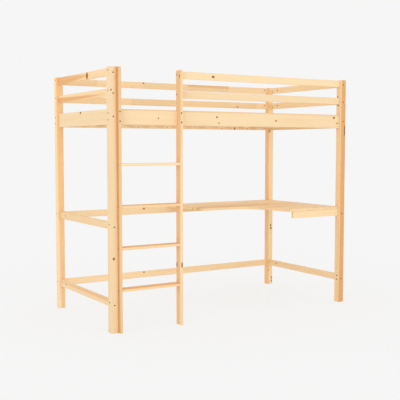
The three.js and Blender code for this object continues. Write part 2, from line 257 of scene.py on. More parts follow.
def rail_bolts():
    """(start, direction, board bored through, its thickness, rail, way to the nut's mouth)."""
    lines = []
    for side, rails in LONG_RAILS.items():
        for rail in rails:
            inward = Y if side == "front" or under_bed(rail) else -Y
            for z in bolt_heights(rail, True):
                y = middle(rail).y
                start = Vector((bed_high.x, y, z))
                lines.append((start, -X, f"post_{side}_right", POST_SIDE, rail, inward))
                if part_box(rail)[0].x < bed_low.x + 2 * POST_SIDE:
                    start = Vector((bed_low.x, y, z))
                    lines.append((start, X, f"post_{side}_left", POST_SIDE, rail, inward))
    for side, rails in END_RAILS.items():
        for rail in rails:
            inward = X if side == "left" or under_bed(rail) else -X
            for z in bolt_heights(rail, False):
                x = middle(rail).x
                front = Vector((x, bed_low.y, z))
                back = Vector((x, bed_high.y, z))
                lines.append((front, Y, f"post_front_{side}", POST_SIDE, rail, inward))
                lines.append((back, -Y, f"post_back_{side}", POST_SIDE, rail, inward))
    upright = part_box("ladder_upright_right")
    for rail in ("guard_rail_front_upper", "guard_rail_front_lower"):
        start = Vector((upright[0].x, middle(rail).y, middle(rail).z))
        thickness = upright[1].x - upright[0].x
        lines.append((start, X, "ladder_upright_right", thickness, rail, Y))
    return lines


def insert_bolts():
    """(start, direction, board bored through, its thickness, board with the insert)."""
    lines = []
    centre = middle("side_rail_front").z
    for side in ("left", "right"):
        upright = f"ladder_upright_{side}"
        low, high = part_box(upright)
        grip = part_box("side_rail_front")[0].y - low.y
        for shift in (-LADDER_BOLT_SPREAD / 2, LADDER_BOLT_SPREAD / 2):
            start = Vector(((low.x + high.x) / 2, low.y, centre + shift))
            lines.append((start, Y, upright, grip, "side_rail_front"))
    for rail in END_RAILS["left"]:
        if rail == "end_rail_left":
            continue
        z = middle(rail).z + BOLT_OFFSET
        start = Vector((bed_low.x, middle("post_front_left").y, z))
        lines.append((start, X, "post_front_left", POST_SIDE, "ladder_upright_left"))
    return lines


RAIL_BOLTS = rail_bolts()
INSERT_BOLTS = insert_bolts()


# Holes: each is a turned cutter, kept by the name of the board that it goes into
cutters = {}


def add_cutter(node, profile, start, along):
    """Keeps a turned cutter for a board."""
    cutters.setdefault(node, []).append(turned(profile, start, along))


def bore_for_bolt(node, start, along, depth):
    """A counterbore for the head and a clearance hole past the far face, in one cutter."""
    head = BOLT_HEAD_RADIUS + HOLE_CLEARANCE
    shank = BOLT_RADIUS + HOLE_CLEARANCE
    seat = BOLT_SUNK + BOLT_HEAD_LENGTH + HOLE_CLEARANCE
    profile = [(-CUT_PAST, head, 0), (seat, head, 0), (seat, shank, 0),
               (depth + CUT_PAST, shank, 0)]
    add_cutter(node, profile, start, along)


for start, along, board, grip, rail, inward in RAIL_BOLTS:
    bore_for_bolt(board, start, along, grip)
    rail_end = start + along * grip
    hole = BOLT_RADIUS + HOLE_CLEARANCE
    add_cutter(rail, [(-CUT_PAST, hole, 0), (NUT_REACH, hole, 0)], rail_end, along)
    mouth = rail_end + along * NUT_REACH + inward * (RAIL_THICKNESS / 2)
    pocket = NUT_INSET + NUT_LENGTH + HOLE_CLEARANCE
    width = NUT_RADIUS + HOLE_CLEARANCE
    add_cutter(rail, [(-CUT_PAST, width, 0), (pocket, width, 0)], mouth, -inward)

for start, along, board, grip, receiver in INSERT_BOLTS:
    bore_for_bolt(board, start, along, grip)
    seat = start + along * grip
    width = INSERT_RADIUS + HOLE_CLEARANCE
    depth = INSERT_LENGTH + HOLE_CLEARANCE
    add_cutter(receiver, [(-CUT_PAST, width, 0), (depth, width, 0)], seat, along)

# Unused holes, which the photograph shows on faces turned to -X: (board, y, z) from CORNER
SPARE_HOLES = [
    ("middle_rail_left", 857, 736), ("low_rail_left", 857, 204),
    ("guard_rail_right_upper", 857, 1772), ("guard_rail_right_lower", 857, 1636),
    ("low_rail_right", 857, 204), ("post_front_right", 23, 216), ("post_front_right", 23, 185),
    ("post_front_right", 36, 1666), ("post_front_right", 32, 1600),
]
for board, y, z in SPARE_HOLES:
    mouth = CORNER + Vector((0, y, z)) * MM
    mouth.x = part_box(board)[0].x
    add_cutter(board, [(-CUT_PAST, SPARE_RADIUS, 0), (SPARE_DEPTH, SPARE_RADIUS, 0)], mouth, X)


# Screws: (start on the outer face, direction, length, the two boards that it joins)

def tread_screws():
    """Two screws through each upright into each end of each tread."""
    screws = []
    for index in range(1, TREADS + 1):
        tread = f"ladder_tread_{index}"
        centre = middle(tread)
        for side, way in (("left", X), ("right", -X)):
            upright = f"ladder_upright_{side}"
            low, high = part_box(upright)
            face = low.x if side == "left" else high.x
            for shift in (-TREAD_SCREW_SPREAD / 2, TREAD_SCREW_SPREAD / 2):
                y = centre.y - TREAD_SCREW_FORWARD + shift
                start = Vector((face, y, centre.z))
                screws.append((start, way, TREAD_SCREW_LENGTH, (upright, tread)))
    return screws


def slat_screws():
    """One screw down through each end of each slat into the ledge under it."""
    screws = []
    for index in range(1, SLATS + 1):
        slat = f"slat_{index:02d}"
        for ledge in ("slat_ledge_front", "slat_ledge_back"):
            start = Vector((middle(slat).x, middle(ledge).y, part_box(slat)[1].z))
            screws.append((start, -Z, SLAT_SCREW_LENGTH, (slat, ledge)))
    return screws


def ledge_screws():
    """Screws between the slats, from each ledge's inner face into the wide rail behind it."""
    screws = []
    for side, way in (("front", -Y), ("back", Y)):
        ledge = f"slat_ledge_{side}"
        low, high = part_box(ledge)
        face = high.y if side == "front" else low.y
        for index in range(1, SLATS, 2):
            x = (middle(f"slat_{index:02d}").x + middle(f"slat_{index + 1:02d}").x) / 2
            start = Vector((x, face, middle(ledge).z))
            boards = (ledge, f"side_rail_{side}")
            screws.append((start, way, LEDGE_SCREW_LENGTH, boards))
    return screws


# Where the desk's screws come up through the rails, in millimetres from CORNER along the rail
DESK_SCREWS = {"middle_rail_back": (1090, 1500, 1910), "desk_support_rail": (1640, 1850),
               "middle_rail_right": (300, 700)}


def desk_screws():
    """Screws up through the rails under the desk into the panel."""
    screws = []
    for rail, places in DESK_SCREWS.items():
        low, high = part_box(rail)
        for place in places:
            start = middle(rail)
            start.z = low.z
            if rail.endswith("right"):
                start.y = CORNER.y + place * MM
            else:
                start.x = CORNER.x + place * MM
            length = high.z - low.z + DESK_SCREW_REACH
            screws.append((start, Z, length, (rail, "desk_top")))
    return screws


SCREWS = {"tread_screws": tread_screws(), "slat_screws": slat_screws(),
          "ledge_screws": ledge_screws(), "desk_screws": desk_screws()}
for screws in SCREWS.values():
    for start, along, length, boards in screws:
        wide, narrow = SCREW_HEAD_RADIUS + SCREW_SLACK, SCREW_SHANK_RADIUS + SCREW_SLACK
        shoulder = SCREW_SUNK + SCREW_RIM + SCREW_SLACK
        neck = SCREW_SUNK + SCREW_HEAD_LENGTH + SCREW_SLACK
        profile = [(-CUT_PAST, wide, 0), (shoulder, wide, 0), (neck, narrow, 0),
                   (length + CUT_PAST, narrow, 0)]
        for board in boards:
            add_cutter(board, profile, start, along)


# Boards

GRAIN = {"x": (X, Y, Z), "y": (Y, Z, X), "z": (Z, X, Y)}


def rounded_section(width, height, radius, inset):
    """A rectangle with round corners, drawn in by inset: per corner a quarter circle."""
    quarter = np.linspace(0, np.pi / 2, ARRIS_STEPS)
    angle = np.concatenate([quarter + turn * np.pi / 2 for turn in range(4)])
    signs = np.repeat([(1, 1), (-1, 1), (-1, -1), (1, -1)], ARRIS_STEPS, axis=0)
    centre = signs * (np.array([width, height]) / 2 - radius)
    round_part = np.stack([np.cos(angle), np.sin(angle)], axis=1)
    return centre + round_part * (radius - inset)


def board_solid(node, grain):
    """A board between its CAD node's corners, its rounded section carried along the grain.

    The section is drawn in at each end by a quarter circle of END_EASE, as sanding leaves it.
    """
    low, high = (np.array(corner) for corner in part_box(node))
    along, side, up = (np.array(axis) for axis in GRAIN[grain])
    centre = (low + high) / 2
    length, width, height = (abs((high - low) @ axis) for axis in (along, side, up))
    turn = np.linspace(0, np.pi / 2, EASE_STEPS)
    inset = END_EASE * (1 - np.sin(turn))
    station = -length / 2 + END_EASE * (1 - np.cos(turn))
    station = np.concatenate([station, -station[::-1]])
    inset = np.concatenate([inset, inset[::-1]])
    sections = np.stack([rounded_section(width, height, ARRIS, step) for step in inset])
    rings = (centre + station[:, None, None] * along
             + sections[:, :, :1] * side + sections[:, :, 1:] * up)
    return lofted(rings)


def box_solid(low, high):
    """A plain block between two corners, for cutting."""
    rings = []
    for z in (low[2], high[2]):
        rings.append([(low[0], low[1], z), (high[0], low[1], z),
                      (high[0], high[1], z), (low[0], high[1], z)])
    return lofted(rings)


def notch_cutter(upright):
    """The notch of a ladder upright over the wide front rail."""
    low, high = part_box("side_rail_front")
    side_low, side_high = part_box(upright)
    slack = NOTCH_CLEARANCE
    return box_solid((side_low.x - CUT_PAST, low.y - slack, low.z - slack),
                     (side_high.x + CUT_PAST, high.y + slack, high.z + slack))


def bored(item, holes, notches):
    """The piece with its holes cut out of it; the holes' walls get its second material, which
    paints the shade inside the holes.
    """
    solids = joined(holes + notches)
    tool = make_object("cutter", *solids)
    hole_faces = sum(len(faces) for points, faces in holes)
    walls = np.arange(len(solids[1])) < hole_faces
    tool.data.polygons.foreach_set("material_index", walls.astype(np.int32))
    cut = item.modifiers.new("holes", "BOOLEAN")
    cut.operation = "DIFFERENCE"
    cut.solver = "EXACT"
    cut.use_self = True
    cut.material_mode = "INDEX"
    cut.object = tool
    graph = bpy.context.evaluated_depsgraph_get()
    graph.update()
    mesh = bpy.data.meshes.new_from_object(item.evaluated_get(graph))
    item.modifiers.clear()
    item.data = mesh
    mesh.name = item.name
    bpy.data.objects.remove(tool)


def desk_outline():
    """The panel's outline from its left rear corner, anticlockwise seen from above.

    Straight sides, two rounded left corners, one cubic curve where the rear part turns into
    the return, and two square corners cut back round the right posts.
    """
    low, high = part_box("desk_top")
    left, front, right, back = low.x, low.y, high.x, high.y
    rail_edge = back - DESK_WIDTH
    return_front = right - DESK_RETURN
    return_back = return_front - DESK_SLANT
    curve_start = return_front - DESK_CURVE_LENGTH
    curve_end = rail_edge - DESK_CURVE_DROP
    post_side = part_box("post_front_right")[0].x - DESK_CLEARANCE
    post_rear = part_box("post_front_right")[1].y + DESK_CLEARANCE
    post_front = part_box("post_back_right")[0].y - DESK_CLEARANCE
    pull = curve_start + (return_back - curve_start) * DESK_CURVE_FLATNESS
    near = (return_back - DESK_SLANT / 2, (rail_edge + curve_end) / 2)
    handles = np.array([(curve_start, rail_edge), (pull, rail_edge), near,
                        (return_back, curve_end)])
    t = np.linspace(0, 1, CURVE_POINTS)[:, None]
    powers = np.hstack([(1 - t) ** 3, 3 * t * (1 - t) ** 2, 3 * t ** 2 * (1 - t), t ** 3])
    curve = powers @ handles
    quarter = np.linspace(0, np.pi / 2, CORNER_STEPS)[:, None]
    rear = (np.array([left, back]) + DESK_CORNER * np.array([1, -1])
            + DESK_CORNER * np.hstack([-np.sin(quarter), np.cos(quarter)]))
    fore = (np.array([left, rail_edge]) + DESK_CORNER
            + DESK_CORNER * np.hstack([-np.cos(quarter), -np.sin(quarter)]))
    corners = np.array([(return_front, front), (post_side, front), (post_side, post_rear),
                        (right, post_rear), (right, post_front), (post_side, post_front),
                        (post_side, back)])
    return np.concatenate([rear, fore, curve, corners])


def desk_solid():
    """The panel: its outline drawn in along the corner bisectors by a quarter circle."""
    low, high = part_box("desk_top")
    outline = desk_outline()
    before = outline - np.roll(outline, 1, axis=0)
    after = np.roll(outline, -1, axis=0) - outline
    normals = []
    for edge in (before, after):
        unit = edge / np.linalg.norm(edge, axis=1, keepdims=True)
        normals.append(np.stack([unit[:, 1], -unit[:, 0]], axis=1))
    bisector = normals[0] + normals[1]
    bisector /= (bisector * normals[0]).sum(axis=1, keepdims=True)
    turn = np.linspace(0, np.pi / 2, ARRIS_STEPS)
    inset = ARRIS * (1 - np.sin(turn))
    height = low.z + ARRIS * (1 - np.cos(turn))
    inset = np.concatenate([inset, inset[::-1]])
    height = np.concatenate([height, (low.z + high.z) - height[::-1]])
    flat = outline[None] - bisector[None] * inset[:, None, None]
    level = np.broadcast_to(height[:, None, None], flat.shape[:2] + (1,))
    return lofted(np.concatenate([flat, level], axis=2))


# Materials

def linear(colour):
    """Linear red, green, blue and alpha of an sRGB hex colour."""
    value = np.array([(colour >> shift) & 255 for shift in (16, 8, 0)]) / 255
    bright = np.where(value <= 0.04045, value / 12.92, ((value + 0.055) / 1.055) ** 2.4)
    return (*bright.tolist(), 1.0)


def add_node(tree, kind, settings=None, inputs=None):
    """Adds a shader node, sets its properties and sets or links its inputs."""
    node = tree.nodes.new(f"ShaderNode{kind}")
    for key, value in (settings or {}).items():
        setattr(node, key, value)
    for key, value in (inputs or {}).items():
        if isinstance(value, bpy.types.NodeSocket):
            tree.links.new(value, node.inputs[key])
        else:
            node.inputs[key].default_value = value
    return node


# Palettes: spring and summer wood of the pale sapwood, then of the orange heartwood
PALETTES = {
    "pale": (0xFADFB5, 0xF1CB98, 0xF5CA96, 0xE6B077),
    "warm": (0xF9DAAC, 0xEFC48D, 0xF0BE85, 0xDC9D62),
    "deep": (0xF6D2A1, 0xE9B882, 0xEBB377, 0xD5965A),
    "mixed": (0xF9DAAC, 0xEFC48D, 0xEBB377, 0xD5965A),
}
END_GRAIN = 0xD9B283
STREAK = 0xDD9A60
KNOT_CORE = 0xA8743A
# Walls of drilled holes: torn end grain, darkened further as painted shade of the hole's depth
DRILLED_WOOD_AND_HOLE_SHADE = 0x7C5232
ZINC = (0x5B5F64, 0x777B7F)

# Layers of a knot, a resin-warm halo, a dark rim and a brown core: colour, the distances in
# knot radii where the layer starts to fade and where it has gone, and its share
KNOT_LAYERS = ((0xDB9A56, 0.9, 1.9, 0.7), (0x6B4820, 0.9, 1.1, 1.0),
               (KNOT_CORE, 0.3, 0.75, 0.8))
SWELL_HEIGHT = 6 * MM
SWELL_START, SWELL_END = 0.8, 2.6
FAR_FROM_KNOTS = 9.0

# Rings, with the share of summer wood at places from 0 to 1 across each, and their waves.
# WAVES and BANDS count for each metre along and across the grain
RING_WIDTH = 3.2 * MM
SUMMER_PEAK = 0.86
SUMMER_RAMP = ((0.45, 0.12), (1.0, 0.0))
SUMMER_SHARE, BAND_SHARE, STREAK_SHARE = 0.5, 0.6, 0.85
BAND_START, BAND_FULL = 0.4, 0.75
WAVE_HEIGHT = 30 * MM
WAVES = (2.2, 9, 9)
BANDS = (1.7, 38, 38)
HEART_WAVE = 20 * MM
HEART_BLUR = 5 * MM
STREAK_WAVE = 50 * MM
STREAK_CORE = 22 * MM
STREAK_RIM = 26 * MM

# Fibres: real ones are about 0.03 mm wide and wouldn't show, so these are far coarser
FIBRE_WIDTH = 0.9 * MM
FIBRE_LENGTH = 90 * MM

# Most of a noise lies between these. From the one to the other go the tones of fibres and
# the roughness of planed pine and of plated steel
NOISE_LOW, NOISE_HIGH = 0.3, 0.7
FIBRE_TONES = (0.965, 1.025)
PINE_ROUGHNESS = (0.54, 0.66)
ZINC_ROUGHNESS = (0.32, 0.48)
PINE_RELIEF = 0.25 * MM
TORN_FIBRES = 1.2 * MM
TORN_RELIEF = 0.3 * MM
ZINC_CLOUDS = 2.5 * MM

# Glued timber: each piece is counted from 40 up, and cut from another place in its log
FINGER_PITCH = 4.5 * MM
FINGER_REACH = 9 * MM
STAVE_WIDTH = 74 * MM
FIRST_PIECE = 40
PIECE_SHIFT = 0.05
PIECE_ALONG = 11
PIECE_TONES = (0.93, 1.03)
LEDGE_SEGMENT, DESK_SEGMENT, GUARD_SEGMENT = 0.8, 0.7, 0.42

# How much end grain is darker: on a solid board, and on the panel of staves
END_SHARE = 0.6
STAVE_END_SHARE = 0.1

# Settings of nodes
SMOOTH = {"interpolation_type": "SMOOTHSTEP"}
COLOURS = {"data_type": "RGBA"}
MULTIPLY = {"operation": "MULTIPLY"}
MULTIPLY_ADD = {"operation": "MULTIPLY_ADD"}


def chance_for(name):
    """A generator of numbers that depends on the piece's name alone."""
    return np.random.default_rng(zlib.crc32(name.encode()))


def new_material(name):
    """A material with an empty node tree, and that tree."""
    material = bpy.data.materials.new(name)
    material.use_nodes = True
    material.node_tree.nodes.clear()
    return material, material.node_tree


def pine(name, along, across, log, knots, streak, stave, segment):
    """Scots pine, planed and sanded, no finish: pale, low sheen, with rings, fibres and knots.

    The pattern is solid, so end grain, edges and faces agree. With d the distance from the
    log's pith plus taper times the place along it, rings are stripes of d, and wood with d
    under the heart radius is orange heartwood, the rest pale sapwood. log is (palette, pith
    from the board's middle, heart radius, taper). A finger joint at each segment's end, or a
    glued stave, starts a new piece of timber with its own pith and tone. knots are (place
    along, place across, half length, half width, whether it runs through) and streak is
    (start, end, half width) along and across, all in metres from the board's middle.
    """
    chance = chance_for(name)
    palette, pith, heart_radius, taper = log
    material, tree = new_material(f"planed pine, {name}")
    turn = Matrix((along, across, along.cross(across)))
    centre = turn @ middle(name)
    place = add_node(tree, "TexCoord").outputs["Object"]
    timber = add_node(tree, "Mapping", None, {
        "Vector": place, "Location": -centre, "Rotation": turn.to_euler()}).outputs[0]
    split = add_node(tree, "SeparateXYZ", None, {0: timber})

    # Finger joints along the board, staves across a panel
    tooth = add_node(tree, "Math", {"operation": "PINGPONG"}, {
        0: split.outputs[1], 1: FINGER_PITCH / 2}).outputs[0]
    toothed = add_node(tree, "Math", MULTIPLY_ADD, {
        0: tooth, 1: 2 * FINGER_REACH / FINGER_PITCH, 2: split.outputs[0]}).outputs[0]
    phase = float(chance.uniform(0, 1)) if segment else 0.5
    length = add_node(tree, "Math", MULTIPLY_ADD, {
        0: toothed, 1: 1 / segment if segment else 0, 2: FIRST_PIECE + phase}).outputs[0]
    stretch = add_node(tree, "Math", {"operation": "FLOOR"}, {0: length}).outputs[0]
    strip = add_node(tree, "Math", MULTIPLY_ADD, {
        0: split.outputs[1], 1: 1 / stave if stave else 0, 2: FIRST_PIECE + 0.5}).outputs[0]
    row = add_node(tree, "Math", {"operation": "FLOOR"}, {0: strip}).outputs[0]
    which = add_node(tree, "CombineXYZ", None, {
        0: stretch, 1: row, 2: float(chance.uniform(0, 90))}).outputs[0]
    piece = add_node(tree, "TexWhiteNoise", None, {0: which})
    shift = PIECE_SHIFT if stave or segment else 0
    wood = add_node(tree, "VectorMath", MULTIPLY_ADD, {
        0: piece.outputs["Color"], 1: (PIECE_ALONG, shift, shift), 2: timber}).outputs[0]

    # Distance to the nearest knot, in knot radii
    near = FAR_FROM_KNOTS
    for at, side, half_length, half_width, through in knots:
        scale = Vector((1 / half_length, 1 / half_width, 0))
        start = Vector((-at / half_length, -side / half_width, 0))
        if through:
            scale, start = scale.xzy, start.xzy
        offset = add_node(tree, "VectorMath", MULTIPLY_ADD, {
            0: timber, 1: scale, 2: start}).outputs[0]
        reach = add_node(tree, "VectorMath", {"operation": "LENGTH"}, {
            0: offset}).outputs["Value"]
        near = add_node(tree, "Math", {"operation": "MINIMUM"}, {
            0: reach, 1: near}).outputs[0]

    # Rings: distance from the pith, with the log's taper, waves and a swell round each knot
    slow = add_node(tree, "VectorMath", MULTIPLY, {
        0: wood, 1: WAVES}).outputs[0]
    wave = add_node(tree, "TexNoise", None, {
        "Vector": slow, "Scale": 1.0, "Detail": 2.0}).outputs[0]
    inner = turn @ pith
    radial = add_node(tree, "VectorMath", MULTIPLY_ADD, {
        0: wood, 1: (0, 1, 1), 2: (0, -inner.y - shift / 2, -inner.z - shift / 2)}).outputs[0]
    radius = add_node(tree, "VectorMath", {"operation": "LENGTH"}, {
        0: radial}).outputs["Value"]
    cone = add_node(tree, "Math", MULTIPLY_ADD, {
        0: split.outputs[0], 1: taper, 2: radius}).outputs[0]
    waved = add_node(tree, "Math", MULTIPLY_ADD, {
        0: wave, 1: WAVE_HEIGHT, 2: cone}).outputs[0]
    if knots:
        swell = add_node(tree, "MapRange", SMOOTH, {
            0: near, 1: SWELL_START, 2: SWELL_END, 3: SWELL_HEIGHT, 4: 0.0}).outputs[0]
        waved = add_node(tree, "Math", {"operation": "ADD"}, {
            0: waved, 1: swell}).outputs[0]
    count = add_node(tree, "Math", {"operation": "DIVIDE"}, {
        0: waved, 1: RING_WIDTH}).outputs[0]
    ring = add_node(tree, "Math", {"operation": "FRACT"}, {0: count}).outputs[0]
    late = add_node(tree, "ValToRGB", None, {0: ring})
    ramp = late.color_ramp
    ramp.elements[0].color = (0, 0, 0, 1)
    ramp.elements[1].position = SUMMER_PEAK
    ramp.elements[1].color = (1, 1, 1, 1)
    for position, grey in SUMMER_RAMP:
        element = ramp.elements.new(position)
        element.color = (grey, grey, grey, 1)

    # Fine fibres, which show from close by, and broad bands along the board
    fine = add_node(tree, "VectorMath", MULTIPLY, {
        0: wood, 1: (1 / FIBRE_LENGTH, 1 / FIBRE_WIDTH, 1 / FIBRE_WIDTH)}).outputs[0]
    fibre = add_node(tree, "TexNoise", None, {
        "Vector": fine, "Scale": 1.0, "Detail": 3.0}).outputs[0]
    broad = add_node(tree, "VectorMath", MULTIPLY, {
        0: wood, 1: BANDS}).outputs[0]
    band = add_node(tree, "TexNoise", None, {
        "Vector": broad, "Scale": 1.0, "Detail": 2.0}).outputs[0]

    # Sapwood and heartwood, each from its spring wood towards its summer wood
    summer_share = add_node(tree, "MapRange", None, {
        0: late.outputs[0], 3: 0.0, 4: SUMMER_SHARE}).outputs[0]
    banded = add_node(tree, "MapRange", None, {
        0: band, 1: BAND_START, 2: BAND_FULL, 3: 0.0, 4: BAND_SHARE}).outputs[0]
    share = add_node(tree, "Math", {"operation": "MAXIMUM"}, {
        0: summer_share, 1: banded}).outputs[0]
    tones = [linear(colour) for colour in PALETTES[palette]]
    sapwood = add_node(tree, "Mix", COLOURS, {
        0: share, 6: tones[0], 7: tones[1]}).outputs[2]
    heartwood = add_node(tree, "Mix", COLOURS, {
        0: share, 6: tones[2], 7: tones[3]}).outputs[2]
    edge = add_node(tree, "Math", MULTIPLY_ADD, {
        0: band, 1: HEART_WAVE, 2: cone}).outputs[0]
    heart_edge = heart_radius + HEART_WAVE / 2
    inside = add_node(tree, "MapRange", SMOOTH, {
        0: edge, 1: heart_edge - HEART_BLUR, 2: heart_edge + HEART_BLUR,
        3: 1.0, 4: 0.0}).outputs[0]
    ringed = add_node(tree, "Mix", COLOURS, {
        0: inside, 6: sapwood, 7: heartwood}).outputs[2]
    if streak:
        start, end, half_width = streak
        normal = (end - start).orthogonal().normalized()
        distance = add_node(tree, "VectorMath", {"operation": "DOT_PRODUCT"}, {
            0: timber, 1: (*normal, 0)}).outputs["Value"]
        away = add_node(tree, "Math", {"operation": "SUBTRACT"}, {
            0: distance, 1: normal.dot(start)}).outputs[0]
        apart = add_node(tree, "Math", {"operation": "ABSOLUTE"}, {0: away}).outputs[0]
        uneven = add_node(tree, "Math", MULTIPLY_ADD, {
            0: band, 1: STREAK_WAVE, 2: apart}).outputs[0]
        within = add_node(tree, "MapRange", SMOOTH, {
            0: uneven, 1: STREAK_CORE, 2: STREAK_RIM + half_width,
            3: STREAK_SHARE, 4: 0.0}).outputs[0]
        ringed = add_node(tree, "Mix", COLOURS, {
            0: within, 6: ringed, 7: linear(STREAK)}).outputs[2]
    piece_tone = add_node(tree, "MapRange", None, {
        0: piece.outputs["Value"], 3: PIECE_TONES[0], 4: PIECE_TONES[1]}).outputs[0]
    fibre_tone = add_node(tree, "MapRange", None, {
        0: fibre, 1: NOISE_LOW, 2: NOISE_HIGH, 3: FIBRE_TONES[0], 4: FIBRE_TONES[1]}).outputs[0]
    tone = add_node(tree, "Math", MULTIPLY, {
        0: piece_tone, 1: fibre_tone}).outputs[0]
    colour = add_node(tree, "Mix", {"data_type": "RGBA", "blend_type": "MULTIPLY"}, {
        0: 1.0, 6: ringed, 7: tone}).outputs[2]
    for tint, full, gone, strength in KNOT_LAYERS if knots else ():
        layer = add_node(tree, "MapRange", SMOOTH, {
            0: near, 1: full, 2: gone, 3: strength, 4: 0.0}).outputs[0]
        colour = add_node(tree, "Mix", COLOURS, {
            0: layer, 6: colour, 7: linear(tint)}).outputs[2]

    # End grain drinks more light: it is darker where the surface faces along the board
    facing = add_node(tree, "NewGeometry").outputs["Normal"]
    toward = add_node(tree, "VectorMath", {"operation": "DOT_PRODUCT"}, {
        0: facing, 1: along}).outputs["Value"]
    square = add_node(tree, "Math", {"operation": "POWER"}, {
        0: toward, 1: 4.0}).outputs[0]
    ends = add_node(tree, "Math", MULTIPLY, {
        0: square, 1: STAVE_END_SHARE if stave else END_SHARE}).outputs[0]
    colour = add_node(tree, "Mix", COLOURS, {
        0: ends, 6: colour, 7: linear(END_GRAIN)}).outputs[2]

    relief = add_node(tree, "Math", MULTIPLY_ADD, {
        0: late.outputs[0], 1: 0.35, 2: fibre}).outputs[0]
    bump = add_node(tree, "Bump", None, {
        "Strength": 0.18, "Distance": PINE_RELIEF, "Height": relief}).outputs[0]
    rough = add_node(tree, "MapRange", None, {
        0: fibre, 1: NOISE_LOW, 2: NOISE_HIGH,
        3: PINE_ROUGHNESS[0], 4: PINE_ROUGHNESS[1]}).outputs[0]
    surface = add_node(tree, "BsdfPrincipled", None, {
        "Base Color": colour, "Roughness": rough, "Normal": bump,
        "IOR": 1.5, "Specular IOR Level": 0.18})
    add_node(tree, "OutputMaterial", None, {0: surface.outputs[0]})
    return material


def drilled_pine_with_painted_shade():
    """Walls of drilled holes in pine: torn fibres and dull, dark as torn end grain and darker
    still with painted shade of the hole's depth.
    """
    material, tree = new_material("drilled pine with painted shade")
    place = add_node(tree, "TexCoord").outputs["Object"]
    torn = add_node(tree, "TexNoise", None, {
        "Vector": place, "Scale": 1 / TORN_FIBRES, "Detail": 3.0}).outputs[0]
    colour = add_node(tree, "Mix", COLOURS, {
        0: torn, 6: linear(DRILLED_WOOD_AND_HOLE_SHADE), 7: linear(KNOT_CORE)}).outputs[2]
    bump = add_node(tree, "Bump", None, {
        "Strength": 0.5, "Distance": TORN_RELIEF, "Height": torn}).outputs[0]
    surface = add_node(tree, "BsdfPrincipled", None, {
        "Base Color": colour, "Roughness": 0.9, "Specular IOR Level": 0.2, "Normal": bump})
    add_node(tree, "OutputMaterial", None, {0: surface.outputs[0]})
    return material


def zinc_plated_steel():
    """Zinc plated steel: grey metal with a dull, slightly uneven plated sheen."""
    material, tree = new_material("zinc plated steel")
    place = add_node(tree, "TexCoord").outputs["Object"]
    cloud = add_node(tree, "TexNoise", None, {
        "Vector": place, "Scale": 1 / ZINC_CLOUDS, "Detail": 3.0}).outputs[0]
    colour = add_node(tree, "Mix", COLOURS, {
        0: cloud, 6: linear(ZINC[0]), 7: linear(ZINC[1])}).outputs[2]
    rough = add_node(tree, "MapRange", None, {
        0: cloud, 1: NOISE_LOW, 2: NOISE_HIGH,
        3: ZINC_ROUGHNESS[0], 4: ZINC_ROUGHNESS[1]}).outputs[0]
    surface = add_node(tree, "BsdfPrincipled", None, {
        "Base Color": colour, "Metallic": 1.0, "Roughness": rough})
    add_node(tree, "OutputMaterial", None, {0: surface.outputs[0]})
    return material


# Knots, in millimetres from CORNER: (place along the board, place across, half length, half
# width). One marked "through" shows on the faces that the others run under
KNOTS = {
    "side_rail_front": [(377, 1464, 5, 4), (860, 1481, 7, 5),
                        (877, 1438, 5, 4), (1396, 1463, 7, 5),
                        (1977, 1498, 9, 7), (2012, 1454, 7, 5)],
    "guard_rail_front_upper": [(827, 1769, 10, 7)],
    "guard_rail_left_upper": [(413, 1769, 14, 21)],
    "end_rail_left": [(538, 1512, 9, 8)],
    "guard_rail_back_upper": [(762, 1788, 7, 5)],
    "guard_rail_back_lower": [(1699, 1618, 7, 5)],
    "middle_rail_back": [(760, 752, 8, 6)],
    "low_rail_back": [(757, 219, 7, 5)],
    "post_back_right": [(1408, 2042, 9, 5), (545, 2062, 9, 6),
                        (519, 2066, 9, 7), (130, 2042, 5, 4),
                        (57, 2077, 9, 5), (28, 2077, 8, 5)],
    "post_front_right": [(1397, 2077, 42, 5)],
    "post_front_left": [(1646, 10, 6, 4), (511, 21, 8, 7)],
    "ladder_upright_right": [(429, 25, 17, 7), (430, 540, 17, 5, "through"),
                             (1759, -14, 10, 5)],
    "desk_top": [(1020, 740, 9, 6), (1253, 467, 8, 6),
                 (1967, 30, 9, 6)],
}

